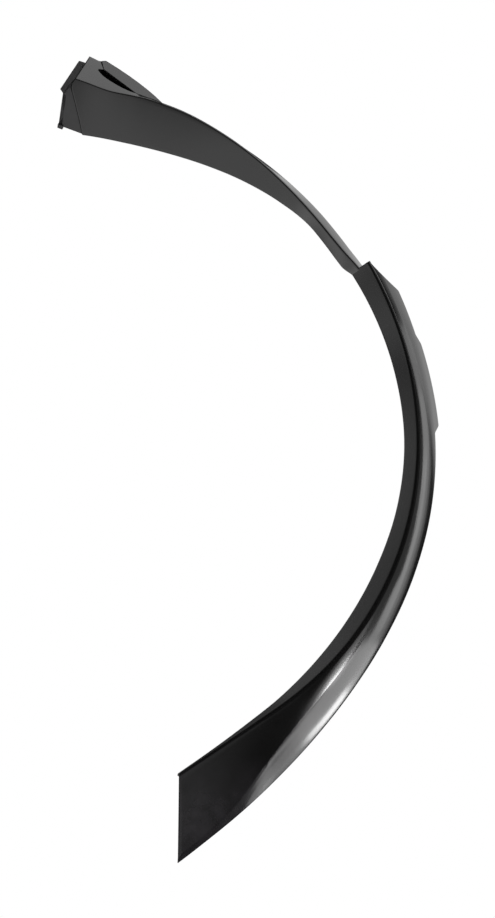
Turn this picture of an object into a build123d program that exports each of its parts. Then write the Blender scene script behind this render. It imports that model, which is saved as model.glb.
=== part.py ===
"""Wheel arch trim for a rear left wheel: one black plastic moulding.

The trim is drawn about the wheel axis, which is the Y axis while it is drawn. An angle is counted from the
crown of the arch, positive towards the bumper and negative towards the sill. A radius is counted from the
wheel axis, and a depth from the crease of the quarter section, positive towards the car.
"""
import os
from math import atan2, cos, hypot, radians, sin, sqrt, tan

from build123d import *

# Overall sizes
arch_radius = 388.0  # wheel axis to the crease of the quarter section
lip_depth = 38.0  # crease to the free edge of the lip
flank_depth = 20.0  # crease to the outer edge on the body panel
wall = 2.8  # thickness of the moulding
crease_round = 3.6  # outer radius of the crease between lip and face
edge_round = 9.0  # outer radius between face and flank
flank_lean = 9.0  # degrees that the bowed flank leaves the face flatter than its chord

# Quarter section, which shows on the finished car
junction_angle = -33.0  # where the quarter section ends, at the door's shut line
bumper_cut = 88.0  # height of the level cut at the bumper, above the wheel axis
corner_out = 3.2  # outer corner at the junction, beyond the crease
corner_run = 6.6  # degrees over which the corner runs out to the full flank
corner_hollow = 2.6  # how far that edge bows inward
# angle, crease out, lip in, lip cut, face width, face fall, flank width, flank cut
quarter_stations = [
    (-33.0, 0.0, 6.2, 0.0, 12.0, 4.5, 21.0, 0.0),
    (-24.0, 0.0, 3.4, 0.0, 12.0, 4.5, 20.4, 0.0),
    (-12.0, 0.0, 0.6, 0.0, 12.0, 4.5, 21.0, 0.0),
    (0.0, 0.0, -0.7, 0.0, 12.0, 4.5, 22.8, 0.0),
    (12.0, 0.0, 2.0, 0.0, 12.0, 4.3, 23.6, 0.0),
    (24.0, 0.0, 6.0, 0.0, 12.0, 3.9, 24.3, 0.0),
    (36.0, 0.0, 7.2, 0.0, 12.5, 3.2, 27.2, 0.0),
    (46.0, 0.0, 5.5, 0.0, 16.5, 2.4, 30.4, 0.0),
    (55.0, 0.5, 2.1, 2.0, 26.0, 1.6, 31.8, 0.0),
    (63.0, 3.0, -0.3, 9.0, 43.0, 1.2, 26.4, 4.0),
    (70.0, 11.0, -0.8, 20.0, 64.0, 1.0, 13.0, 14.5),
    (76.0, 23.0, -0.2, 30.0, 77.0, 1.0, 6.0, 17.5),
    (82.0, 40.0, -0.2, 33.0, 84.0, 1.0, 5.0, 17.8),
]

# Fixing flange, a stretch where the flank runs further out
flange_from = -18.4
flange_to = -1.4
flange_low = 7.2  # beyond the outer edge, at its door end
flange_high = 11.6  # and at its crown end
flange_run = 1.6  # degrees over which each end of the flange runs out

# Dog-leg section, set back behind the door
recess = 19.0  # depth of the dog-leg's crease behind the quarter's crease
leg_round = 3.2  # outer radius of the dog-leg's crease
leg_lean = 2.0  # degrees that its bowed flank leaves the crease flatter than its chord
# angle, crease out, lip in, lip deeper than the quarter's, flank width, flank fall
leg_stations = [
    (-100.0, 18.0, 60.0, 22.0, 34.0, 8.0),
    (-95.0, 7.5, 50.5, 21.0, 38.0, 8.5),
    (-90.0, -1.0, 43.0, 20.0, 43.0, 9.0),
    (-86.0, -1.0, 43.0, 19.5, 29.5, 10.0),
    (-82.0, -0.5, 42.5, 18.5, 15.0, 13.0),
    (-76.0, -1.5, 39.5, 16.0, 11.5, 16.0),
    (-68.0, -5.5, 30.0, 12.0, 12.0, 16.0),
    (-60.0, -8.5, 19.5, 8.0, 13.0, 16.0),
    (-52.0, -11.0, 9.0, 4.0, 16.0, 16.0),
    (-45.0, -12.5, 2.0, 1.0, 19.0, 16.0),
    (-40.0, -12.0, 2.0, 0.0, 19.0, 16.0),
    (-36.0, -9.0, 4.0, 0.0, 17.0, 16.0),
    (-34.6, -7.0, 4.5, 0.0, 16.0, 16.0),
    (-32.6, -4.5, 0.5, 0.0, 15.0, 16.0),
]

# Sill end, cut to a keel: lowest beside the crease and rising to both sides
sill_drop = 42.0  # crease end below the wheel axis
sill_flare = 9.0  # crease end beyond the arch radius
keel_out = 28.5  # degrees that the cut rises towards the door
keel_past = 9.0  # from the crease to the lowest point, along that cut
keel_in = 30.0  # degrees that the cut rises towards the wheel
tab_reach = 38.5  # outer edge of the sill end's face beyond the arch radius
tab_shoulder = -8.0  # height at which the raised pad on the face starts
tab_step = (1.5, 8.5)  # notch below the pad, out and down
tab_lean = 5.0  # how far the end corner of the face stands out beyond the pad
tab_tip = 66.0  # height at which the pad runs out into the flank
pad_depths = (0.2, 1.7, 5.3)  # pad's face behind the crease: at its tip, by the pocket's end, at its start
pad_back = 11.0  # back of the pad behind the crease
pad_wide = 9.0  # width of the pad at its start
pocket_long = 48.0  # lens-shaped pocket beside the pad
pocket_bulge = 5.5  # how far the pocket bows away from the pad
pocket_deep = 14.0
pocket_wall = 2.2
end_plate_fall = 14.0  # degrees that the end plate falls on its way back
# corners of the end plate: way past the crease along the door's cut, and way back
end_plate_corners = [(0.0, 1.8), (-27.7, 7.0), (-43.2, 32.2), (1.3, 34.0), (19.2, 11.5), (9.0, 8.0)]
foot_corner = (13.8, 18.0, 10.3)  # foot's upper free corner from the crease: to the wheel, back, down
foot_share = 0.433  # place of the foot's tip along the lip's end
foot_length = 2.47  # its reach from there, in lengths of the foot's upper edge
post_wide = 5.0  # post on the foot's free edge
post_drop = 5.0

# Clip seats, locating pins and ribs on the back
seat_angles = [-22.0, -9.0, 13.0, 28.0, 43.0, 66.0]
pin_angles = [0.0, 56.0]
seat_reach = 17.0  # centre of a seat beyond the crease, at the crown
seat_long = 20.0  # along the radius
seat_wide = 17.0
seat_thick = 2.5
clip_head = 3.0  # gap that the head of a clip fills between its seat and the body panel
clip_slot = 6.4
clip_room = 0.6  # how far the keyhole's mouth runs past the seat
rib_thick = 1.8
rib_root = 0.7  # how far below the outer skin a rib starts in the wall
pin_radius = 3.0
pin_length = 9.0
pin_nose = 1.2
stiffener_angles = [-29.0, -16.0, 6.5, 20.5, 35.5, 50.0, 61.0, 71.0]
leg_rib_angles = [-38.0, -47.0, -56.0, -65.0, -74.0, -83.0]

body_depth = flank_depth + wall  # the body panel that the quarter section lies against


def place(angle, radius, depth):
    """A point of space from its angle, radius and depth."""
    return Vector(radius * sin(radians(angle)), depth, radius * cos(radians(angle)))


def at(stations, angle):
    """The values of a station table at any angle, in line between the two stations beside it."""
    for low, high in zip(stations, stations[1:]):
        if low[0] <= angle <= high[0]:
            share = (angle - low[0]) / (high[0] - low[0])
            return [a + share * (b - a) for a, b in zip(low, high)]
    return list(stations[0] if angle < stations[0][0] else stations[-1])


def quarter_points(angle):
    """Lip edge, crease, face edge and outer edge of the quarter section, as radius and depth."""
    _, out, lip_in, lip_cut, face, fall, flank, flank_cut = at(quarter_stations, angle)
    crease = arch_radius + out
    return [
        (crease - lip_in, lip_depth - lip_cut),
        (crease, 0.0),
        (crease + face, fall),
        (crease + face + flank, flank_depth - flank_cut),
    ]


def leg_points(angle):
    """Lip edge, crease and outer edge of the dog-leg section, as radius and depth."""
    _, out, lip_in, deeper, flank, fall = at(leg_stations, angle)
    crease = arch_radius + out
    return [
        (crease - lip_in, lip_depth + deeper),
        (crease, recess),
        (crease + flank, recess + fall),
    ]


def unit(a, b):
    """Direction from one profile point to the next."""
    length = sqrt((b[0] - a[0]) ** 2 + (b[1] - a[1]) ** 2)
    return ((b[0] - a[0]) / length, (b[1] - a[1]) / length)


def inset(points, distance):
    """The profile moved towards its hollow side, with mitred corners."""
    ways = [unit(a, b) for a, b in zip(points, points[1:])]
    normals = [(-way[1], way[0]) for way in ways]
    moved = []
    for number, point in enumerate(points):
        first = normals[max(number - 1, 0)]
        second = normals[min(number, len(normals) - 1)]
        share = distance / (1 + first[0] * second[0] + first[1] * second[1])
        moved.append((point[0] + share * (first[0] + second[0]), point[1] + share * (first[1] + second[1])))
    return moved


def rounded(points, radii):
    """Start, middle and end of the arc at each inner corner of a profile."""
    arcs = []
    for before, corner, after, radius in zip(points, points[1:], points[2:], radii):
        way_in = unit(before, corner)
        way_out = unit(corner, after)
        cross = way_in[0] * way_out[1] - way_in[1] * way_out[0]
        turn = atan2(cross, way_in[0] * way_out[0] + way_in[1] * way_out[1])
        reach = radius * tan(turn / 2)
        inward = unit((0, 0), (-way_in[1] - way_out[1], way_in[0] + way_out[0]))
        rise = radius / cos(turn / 2) - radius
        start = (corner[0] - reach * way_in[0], corner[1] - reach * way_in[1])
        middle = (corner[0] + rise * inward[0], corner[1] + rise * inward[1])
        end = (corner[0] + reach * way_out[0], corner[1] + reach * way_out[1])
        arcs.append((start, middle, end))
    return arcs


def bow(start, way, end, room):
    """Centre of the arc that leaves a point along a way and passes another, and its end, run on by a room."""
    chord = unit(start, end)
    lean = atan2(way[0] * chord[1] - way[1] * chord[0], way[0] * chord[0] + way[1] * chord[1])
    radius = hypot(end[0] - start[0], end[1] - start[1]) / 2 / sin(lean)
    centre = (start[0] - radius * way[1], start[1] + radius * way[0])
    turn = room / radius
    x = end[0] - centre[0]
    y = end[1] - centre[1]
    return centre, (centre[0] + x * cos(turn) - y * sin(turn), centre[1] + x * sin(turn) + y * cos(turn))


def section(angle, points, radii, lean, room):
    """Closed outline of the wall at one angle, with its last side bowed out and run on by a room."""
    side = unit(points[-2], points[-1])
    way = (side[0] * cos(lean) + side[1] * sin(lean), side[1] * cos(lean) - side[0] * sin(lean))
    reach = hypot(points[-1][0] - points[-2][0], points[-1][1] - points[-2][1])
    straight = points[:-1] + [(points[-2][0] + reach * way[0], points[-2][1] + reach * way[1])]
    inner = inset(straight, wall)
    inner_radii = [max(radius - wall, 0.3 * radius) for radius in radii]
    outer_arcs = rounded(straight, radii)
    inner_arcs = rounded(inner, inner_radii)
    centre, far = bow(outer_arcs[-1][2], way, points[-1], room)

    def spot(point):
        return place(angle, *point)

    def under(point):
        """The point of the inner skin below a point of the bowed side."""
        length = hypot(point[0] - centre[0], point[1] - centre[1])
        share = (length - wall) / length
        return (centre[0] + share * (point[0] - centre[0]), centre[1] + share * (point[1] - centre[1]))

    def skin(first, arcs, outer, last):
        edges = []
        for start, middle, end in arcs:
            edges.append(Line(spot(first), spot(start)))
            edges.append(ThreePointArc(spot(start), spot(middle), spot(end)))
            first = end
        edges.append(ThreePointArc(spot(first), spot(outer), spot(last)))
        return edges

    outer_edges = skin(points[0], outer_arcs, points[-1], far)
    inner_edges = skin(inner[0], inner_arcs, under(points[-1]), under(far))
    outer_edge = Line(spot(far), spot(under(far)))
    lip_edge = Line(spot(inner[0]), spot(points[0]))
    return Wire(outer_edges + [outer_edge] + inner_edges[::-1] + [lip_edge])


def upright_plane(first, second):
    """Plane along the depth through two points of the side view, facing right of the way between them."""
    way = Vector(second[0] - first[0], 0, second[1] - first[1]).normalized()
    return Plane(origin=(first[0], 0, first[1]), x_dir=way, z_dir=(way.Z, 0, -way.X))


def plate(points, thickness, towards):
    """Flat plate on a polygon of space, thickened to the side that a direction points to."""
    face = Face(Wire.make_polygon(points))
    normal = (points[1] - points[0]).cross(points[2] - points[1]).normalized()
    if normal.dot(Vector(*towards)) < 0:
        normal = -normal
    return extrude(face, amount=thickness, dir=normal)


def side_view(outline, depth, thickness):
    """Plate across the depth from an outline or a face in the side view."""
    face = outline if isinstance(outline, Sketch) else make_face(outline)
    return extrude(face, amount=thickness, dir=(0, 1, 0)).moved(Pos(0, depth, 0))


def radial_plate(angle, profile, thickness):
    """Plate in the plane of one angle from an outline of radii and depths, centred on that plane."""
    face = Face(Wire.make_polygon([place(angle, *point) for point in profile]))
    across = place(angle + 90, 1, 0)
    return extrude(face, amount=thickness, dir=across).moved(Pos(-across * (thickness / 2)))


def depth_at(profile, radius):
    """Depth of a profile at a radius, from its crease outwards."""
    for low, high in zip(profile[1:], profile[2:]):
        if radius <= high[0]:
            share = (radius - low[0]) / (high[0] - low[0])
            return low[1] + share * (high[1] - low[1])
    return profile[-1][1]


def under_face(angle, low, high, back):
    """Outline of a rib from inside the wall to a depth, between two radii."""
    middle = inset(quarter_points(angle), rib_root)
    inside = [point for point in middle[1:] if low < point[0] < high]
    top = [(low, depth_at(middle, low))] + inside + [(high, depth_at(middle, high))]
    return top + [(high, back), (low, back)]


def seat_centre(angle):
    """Radius of a seat: a fixed way beyond the crease, and mid-face where the face is broad."""
    crease, face_edge = quarter_points(angle)[1:3]
    return max(crease[0] + seat_reach, (crease[0] + face_edge[0]) / 2)


def seat(angle, back):
    """Seat on two ribs behind the face, with its flat side at a depth."""
    centre = seat_centre(angle)
    low = centre - seat_long / 2
    high = centre + seat_long / 2
    turn = seat_wide / 2 - rib_thick / 2
    ribs = []
    for side in (-1, 1):
        rib_angle = angle + side * turn / radians(1) / centre
        ribs.append(radial_plate(rib_angle, under_face(rib_angle, low, high, back), rib_thick))
    block = Box(seat_wide, seat_thick, seat_long)
    block = Pos(0, back - seat_thick / 2, centre) * block
    return ribs + [Rot(0, angle, 0) * block]


def clip_cut(angle, back):
    """Keyhole in a seat, open towards the lip, for the neck of a clip."""
    centre = seat_centre(angle)
    reach = seat_long / 2 + clip_room
    hole = Pos(0, back, centre) * Rot(90, 0, 0) * Cylinder(clip_slot / 2, 2.5 * seat_thick)
    mouth = Pos(0, back, centre - reach / 2) * Box(clip_slot, 2.5 * seat_thick, reach)
    return Rot(0, angle, 0) * (hole + mouth)


def pin(angle):
    """Locating pin with a tapered nose, standing on its pad."""
    shaft = Cylinder(pin_radius, pin_length, align=(Align.CENTER, Align.CENTER, Align.MIN))
    nose = Pos(0, 0, pin_length) * Cone(pin_radius, pin_radius - pin_nose, pin_nose,
                                        align=(Align.CENTER, Align.CENTER, Align.MIN))
    root = Cylinder(pin_radius, seat_thick, align=(Align.CENTER, Align.CENTER, Align.MAX))
    upright = Rot(-90, 0, 0) * (shaft + nose + root)
    return Rot(0, angle, 0) * Pos(0, body_depth, seat_centre(angle)) * upright


# Quarter section: a loft of its wall with a long flank, trimmed to its outline and cut level at the bumper
trim_room = 16.0  # how far the long flanks run past their outlines
quarter_sections = []
for angle in [station[0] for station in quarter_stations]:
    radii = [crease_round, edge_round]
    quarter_sections.append(section(angle, quarter_points(angle), radii, radians(flank_lean), trim_room))
quarter = Solid.make_loft(quarter_sections)
corner_low = place(junction_angle, arch_radius + corner_out, 0)
corner_angle = junction_angle + corner_run
corner_high = place(corner_angle, quarter_points(corner_angle)[3][0], 0)
corner_start = corner_low + (corner_low - corner_high) * 0.3
corner_way = (corner_high - corner_low).normalized()
corner_middle = (corner_low + corner_high) / 2 + Vector(corner_way.Z, 0, -corner_way.X) * corner_hollow
flange_start = place(flange_from, quarter_points(flange_from)[3][0], 0)
flange_door = place(flange_from + flange_run, quarter_points(flange_from)[3][0] + flange_low, 0)
flange_crown = place(flange_to - flange_run, quarter_points(flange_to)[3][0] + flange_high, 0)
flange_bulge = (flange_low + flange_high) / 2
flange_angle = (flange_from + flange_to) / 2
flange_middle = place(flange_angle, quarter_points(flange_angle)[3][0] + flange_bulge, 0)
base_angle = (corner_angle + flange_from) / 2
base_middle = place(base_angle, quarter_points(base_angle)[3][0], 0)
rest = [place(flange_to, quarter_points(flange_to)[3][0], 0)]
rest += [place(s[0], quarter_points(s[0])[3][0], 0) for s in quarter_stations if s[0] > flange_to + 6]
hub_radius = arch_radius - 3 * trim_room
hub_last = place(quarter_stations[-1][0], hub_radius, 0)
hub_first = place(junction_angle - corner_run, hub_radius, 0)
outline = [
    Line(corner_start, corner_low),
    ThreePointArc(corner_low, corner_middle, corner_high),
    ThreePointArc(corner_high, base_middle, flange_start),
    Line(flange_start, flange_door),
    ThreePointArc(flange_door, flange_middle, flange_crown),
    Line(flange_crown, rest[0]),
    Spline(*rest),
    Line(rest[-1], hub_last),
    ThreePointArc(hub_last, place(0, hub_radius, 0), hub_first),
    Line(hub_first, corner_start),
]
quarter = quarter & side_view(outline, -lip_depth, 3 * lip_depth)
quarter = split(quarter, Plane.XY.offset(bumper_cut), keep=Keep.TOP)

# Dog-leg section: a loft of its wall, trimmed to its outline and cut to a keel at the sill
leg_sections = []
for angle in [station[0] for station in leg_stations]:
    leg_sections.append(section(angle, leg_points(angle), [leg_round], radians(leg_lean), trim_room))
leg = Solid.make_loft(leg_sections)
keel = (-arch_radius - sill_flare, -sill_drop)
keel_door = (keel[0] - cos(radians(keel_out)), keel[1] + sin(radians(keel_out)))
heel = (keel[0] + keel_past * cos(radians(keel_out)), keel[1] - keel_past * sin(radians(keel_out)))
heel_wheel = (heel[0] + cos(radians(keel_in)), heel[1] + sin(radians(keel_in)))
tab_edge = -arch_radius - tab_reach
tip_angle = -90 + tab_tip / radians(1) / arch_radius
tip = place(tip_angle, leg_points(tip_angle)[2][0], 0)
shoulder = Vector(tab_edge, 0, tab_shoulder)
notch = shoulder - Vector(tab_step[0], 0, tab_step[1])
low_x = tab_edge - tab_lean
low_z = keel[1] + (keel[0] - low_x) * tan(radians(keel_out))
tab_corner = Vector(low_x, 0, low_z)
leg_rail = [place(s[0], leg_points(s[0])[2][0], 0) for s in leg_stations if s[0] > tip_angle + 2]
leg_hub = arch_radius - 6 * trim_room
leg_end = place(leg_stations[-1][0] + corner_run, leg_points(leg_stations[-1][0])[2][0], 0)
hub_low = place(leg_stations[0][0], leg_hub, 0)
hub_high = place(leg_stations[-1][0] + corner_run, leg_hub, 0)
hub_middle = place((leg_stations[0][0] + leg_stations[-1][0]) / 2, leg_hub, 0)
leg_outline = [
    Line(shoulder, notch),
    Line(notch, tab_corner),
    Line(tab_corner, Vector(low_x, 0, -3 * sill_drop)),
    Line(Vector(low_x, 0, -3 * sill_drop), hub_low),
    ThreePointArc(hub_low, hub_middle, hub_high),
    Line(hub_high, leg_end),
    Spline(leg_end, *leg_rail[::-1], tip),
    Line(tip, shoulder),
]
leg = leg & side_view(leg_outline, -lip_depth, 5 * lip_depth)
leg = split(leg, upright_plane(heel, heel_wheel), keep=Keep.BOTTOM)
leg = split(leg, upright_plane(keel_door, keel), keep=Keep.BOTTOM)

# Step between the two: a wall that closes the quarter's end down to the dog-leg
step_middle = inset(quarter_points(junction_angle), wall / 2)
step_outer = arch_radius + corner_out - wall / 2
step_profile = [(step_middle[0][0], lip_depth - wall / 2), step_middle[1]]
step_profile += [(step_outer, depth_at(step_middle, step_outer)), (step_outer, lip_depth - wall / 2)]
step_angle = junction_angle + wall / 2 / radians(1) / arch_radius
step = radial_plate(step_angle, step_profile, wall)

# Raised pad along the outer edge of the sill end, and the lens-shaped pocket beside it
pad_tip = place(tip_angle, leg_points(tip_angle)[1][0] + wall / 2, 0)
pad_way = (pad_tip - shoulder).normalized()
pad_across = Vector(pad_way.Z, 0, -pad_way.X)
pad_inner = shoulder + pad_across * pad_wide
pocket_end = pad_inner + pad_way * pocket_long + pad_across * (pad_wide / 3)
pad_outline = Polyline(shoulder, pad_tip, pocket_end, pad_inner, close=True)
pad = side_view(pad_outline, recess - wall, pad_back + wall)
pad_face = []
for point, depth in zip((pad_tip, pocket_end, pad_inner), pad_depths):
    pad_face.append(point + Vector(0, recess + depth, 0))
pad_inward = (pad_face[1] - pad_face[0]).cross(pad_face[2] - pad_face[0]).normalized()
if pad_inward.Y < 0:
    pad_inward = -pad_inward
pad = split(pad, Plane(origin=pad_face[0], z_dir=pad_inward), keep=Keep.TOP)
pocket_start = pad_inner + pad_way * wall
pocket_middle = (pocket_start * 2 + pocket_end) / 3 + pad_across * pocket_bulge
pocket_bow = ThreePointArc(pocket_end, pocket_middle, pocket_start)
pocket_outline = make_face([Line(pocket_start, pocket_end), pocket_bow])
pocket = side_view(pocket_outline, recess - pocket_deep, 2 * pocket_deep)
boss_outline = offset(pocket_outline, amount=pocket_wall)
boss_start = pad_depths[2] + wall / 2
boss = side_view(boss_outline, recess + boss_start, pocket_deep + pocket_wall - boss_start)

# End plate: closes the end of the face and runs back into the sill
along = Vector(cos(radians(keel_out)), 0, -sin(radians(keel_out)))
back = Vector(0, 1, -tan(radians(end_plate_fall)))
end_corners = [Vector(keel[0], recess, keel[1]) + along * s + back * t for s, t in end_plate_corners]
end_plate = plate(end_corners, wall, (0, 0, 1))

# Foot: a wall that closes the end of the lip and hangs down behind it, with a post on its free edge
lip_angle = -90 - sill_drop / 2 / radians(1) / arch_radius
lip_corner = place(lip_angle, *inset(leg_points(lip_angle), wall / 2)[0]) + Vector(0, 0, wall / 2)
heel_share = (heel[0] - keel[0]) / (lip_corner.X - keel[0])
foot_top = Vector(heel[0], recess + wall / 2 + (lip_corner.Y - recess) * heel_share, heel[1])
foot_side = Vector(keel[0] + foot_corner[0], recess + foot_corner[1], keel[1] - foot_corner[2])
foot_tip = foot_top + (lip_corner - foot_top) * foot_share + (foot_side - foot_top) * foot_length
foot_wall = plate([foot_top, lip_corner, foot_tip, foot_side], wall, (0, 0, 1))
post_way = (foot_tip - foot_side).normalized()
post_side = (lip_corner - foot_tip).normalized()
post_end = foot_tip + post_way * post_drop
post_points = [foot_side, post_end, post_end + post_side * post_wide, foot_side + post_side * post_wide]
post = plate(post_points, 1.5 * wall, (0, 0, 1))

# Back of the moulding
seat_back = body_depth - clip_head
extras = [step, pad, boss, end_plate, foot_wall, post]
for angle in seat_angles:
    extras += seat(angle, seat_back)
for angle in pin_angles:
    extras += seat(angle, body_depth)
    extras.append(pin(angle))
for angle in stiffener_angles:
    lip, crease, face_edge, _ = inset(quarter_points(angle), wall / 2)
    shallow = inset(quarter_points(angle), rib_root)
    outline = [(lip[0] + (crease[0] - lip[0]) / 2, lip[1] / 2), crease, face_edge]
    outline += [((shallow[2][0] + shallow[3][0]) / 2, (shallow[2][1] + shallow[3][1]) / 2)]
    extras.append(radial_plate(angle, outline, rib_thick))
for angle in leg_rib_angles:
    lip, crease, outer = inset(leg_points(angle), wall / 2)
    lip_half = ((lip[0] + crease[0]) / 2, (lip[1] + crease[1]) / 2)
    outer_half = ((outer[0] + crease[0]) / 2, (outer[1] + crease[1]) / 2)
    extras.append(radial_plate(angle, [lip_half, crease, outer_half], rib_thick))

trim = quarter.fuse(leg, *extras)
trim = trim.cut(pocket, *[clip_cut(angle, seat_back) for angle in seat_angles])

# The part's own frame: origin on the body panel at the crown pin
trim = Pos(0, -body_depth, -seat_centre(0.0)) * trim

os.makedirs("parts", exist_ok=True)
export_step(trim, "parts/arch_trim.step")
box = trim.bounding_box()
print("arch_trim", "solids", len(trim.solids()), "volume", round(trim.volume), "valid", trim.is_valid)
print("size", box.size, "from", box.min, "to", box.max)
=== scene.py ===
# %% [markdown]
# # Wheel arch trim
# The part is one black moulding that frames the rear wheel arch of a car. The frame brings in the exact solid,
# in metres, with the car's own axes: X runs to the bumper, Y goes into the car and Z is up. The solid is kept
# for collision. For the eye it is drawn again here, because a moulded skin is crowned a little everywhere and
# has no sharp edge, and on black plastic that is what the light shows.

# %% Load the frame
from math import acos, atan2, cos, degrees, pi, radians, sin, tan

import bmesh
import bpy
import numpy as np
from mathutils import Matrix, Vector


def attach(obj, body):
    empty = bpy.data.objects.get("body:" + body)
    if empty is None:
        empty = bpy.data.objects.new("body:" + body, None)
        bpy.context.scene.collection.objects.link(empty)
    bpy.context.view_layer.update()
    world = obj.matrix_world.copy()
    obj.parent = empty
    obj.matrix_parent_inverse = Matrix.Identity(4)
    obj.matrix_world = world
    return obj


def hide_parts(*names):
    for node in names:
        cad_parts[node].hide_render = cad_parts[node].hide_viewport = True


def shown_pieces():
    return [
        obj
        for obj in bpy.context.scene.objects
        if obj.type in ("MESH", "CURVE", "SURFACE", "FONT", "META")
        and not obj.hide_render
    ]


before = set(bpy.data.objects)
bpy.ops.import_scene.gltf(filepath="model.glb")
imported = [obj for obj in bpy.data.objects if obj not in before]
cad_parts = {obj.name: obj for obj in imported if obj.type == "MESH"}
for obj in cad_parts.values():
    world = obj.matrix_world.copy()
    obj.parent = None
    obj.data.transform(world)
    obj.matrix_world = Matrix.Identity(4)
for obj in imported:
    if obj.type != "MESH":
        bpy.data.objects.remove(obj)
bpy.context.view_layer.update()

# %% [markdown]
# ## Camera
# The picture was taken from below and in front, with the camera turned a quarter turn, so that up in the
# picture is forward on the car. The lens could be guessed and moved until it looks right. Here its place comes
# from the drawing: the crease is a true circle, and only one viewpoint turns that circle into the curve that
# we see.

# %% Camera
picture_high = 918  # pixels
focal_length = 1739.13  # pixels
sensor = 36.0  # millimetres


def placed(name, data):
    """New object in the scene."""
    made = bpy.data.objects.new(name, data)
    bpy.context.scene.collection.objects.link(made)
    return made


cam_data = bpy.data.cameras.new("camera")
cam_data.sensor_width = sensor
cam_data.lens = focal_length / picture_high * sensor
camera = placed("camera", cam_data)
eye = Vector((0.5010, -1.8317, -0.9609))
target = Vector((0.0488, -0.0228, -0.2374))
picture_up = Vector((-1, 0, 0))
ahead = (target - eye).normalized()
right = ahead.cross(picture_up).normalized()
above = right.cross(ahead)
facing = Matrix((right, above, -ahead)).transposed().to_4x4()
camera.matrix_world = Matrix.Translation(eye) @ facing
cam_data.clip_start = 0.1
cam_data.clip_end = 50
bpy.context.scene.camera = camera
print("camera", [round(v, 3) for v in eye], "lens", round(cam_data.lens, 2))

# %% [markdown]
# ## The drawing frame
# A wheel arch is drawn about the wheel. Each point has an angle at the axle, counted from the top of the arch and
# positive towards the bumper, a radius, and a depth behind the crease, all in millimetres. A fixed section could
# be swept along a curve, but this one changes all the way. So a table lists the section at a few angles, and a
# smooth curve through its rows gives every section between them.

# %% Drawing frame
axle = Vector((0.0, -22.8, -405.0))  # the wheel's axle at the depth of the crease
arch_radius = 388.0


def spot(angle, radius, depth):
    """Point in millimetres from an angle at the axle, a radius and a depth."""
    return axle + Vector((radius * sin(radians(angle)), depth, radius * cos(radians(angle))))


def at(lines, angle):
    """Values of a table at an angle, on a smooth curve through its rows."""
    angles, values = lines[:, 0], lines[:, 1:]
    slopes = np.gradient(values, angles, axis=0)
    i = int(np.clip(np.searchsorted(angles, angle) - 1, 0, len(angles) - 2))
    run = angles[i + 1] - angles[i]
    t = min(max((angle - angles[i]) / run, 0), 1)
    rise = values[i] * (1 + 2 * t) * (1 - t) ** 2 + values[i + 1] * t ** 2 * (3 - 2 * t)
    return rise + run * (slopes[i] * t * (1 - t) ** 2 + slopes[i + 1] * t ** 2 * (t - 1))


print("top of the crease at", [round(v, 1) for v in spot(0, arch_radius, 0)], "mm")

# %% [markdown]
# ## Sides and corners of a section
# A section is a line of sides and rounded corners. A straight side reflects one point of the room and looks dead,
# so each side is a flat arc that leaves the corner a few degrees flatter than its chord. The corners are arcs
# too. A bevel modifier could round them, but here both give their outward directions as well, and the inner skin
# then lies one wall thickness behind them.

# %% Sides and corners
least_lean = 1e-4  # a side is never quite straight


def turned(way, angle):
    """A direction of the section, turned towards the hollow side."""
    return np.array((way[0] * cos(angle) - way[1] * sin(angle), way[0] * sin(angle) + way[1] * cos(angle)))


def outward(way):
    """The outer side of a direction of the section."""
    return np.array((way[1], -way[0]))


def unit(vector):
    """The direction of a vector of the section."""
    return vector / np.hypot(*vector)


def side(start, end, lean, steps):
    """Points and outward directions along a side that bows out, its ends leaning off the chord."""
    length = np.hypot(*(end - start))
    way = (end - start) / length
    lean = max(lean, least_lean)
    radius = length / 2 / sin(lean)
    points, outs = [], []
    for k in range(steps + 1):
        angle = lean * (2 * k / steps - 1)
        bow = outward(way) * radius * (cos(angle) - cos(lean))
        points.append(start + way * (length / 2 + radius * sin(angle)) + bow)
        outs.append(outward(turned(way, angle)))
    return points, outs


def corner(point, way_in, way_out, radius, steps):
    """Points and outward directions round a corner."""
    angle = atan2(way_in[0] * way_out[1] - way_in[1] * way_out[0], way_in @ way_out)
    centre = point - radius * tan(angle / 2) * way_in - radius * outward(way_in)
    outs = [outward(turned(way_in, angle * k / steps)) for k in range(steps + 1)]
    return [centre + radius * out for out in outs], outs


middle = side(np.array((0.0, 0.0)), np.array((24.0, 0.0)), radians(9), 2)[0][1]
print("a side of 24 mm that leans 9 degrees bows out by", round(-middle[1], 2), "mm")

# %% [markdown]
# ## Quarter section
# This is the stretch that shows on the finished car: a lip that turns in to the wheel, the crease, a narrow face,
# and a flank that falls back to the body. Towards the bumper the face grows broad and the flank fades out. It
# could be modelled by hand from a plane. A table is easier to correct, because each number is a size of the
# moulding. Its last four columns say how the light should run: how much face and flank are crowned, and how
# round the crease and the edge between face and flank are.

# %% Quarter section
lip_depth = 38.0
flank_depth = 20.0
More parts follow.
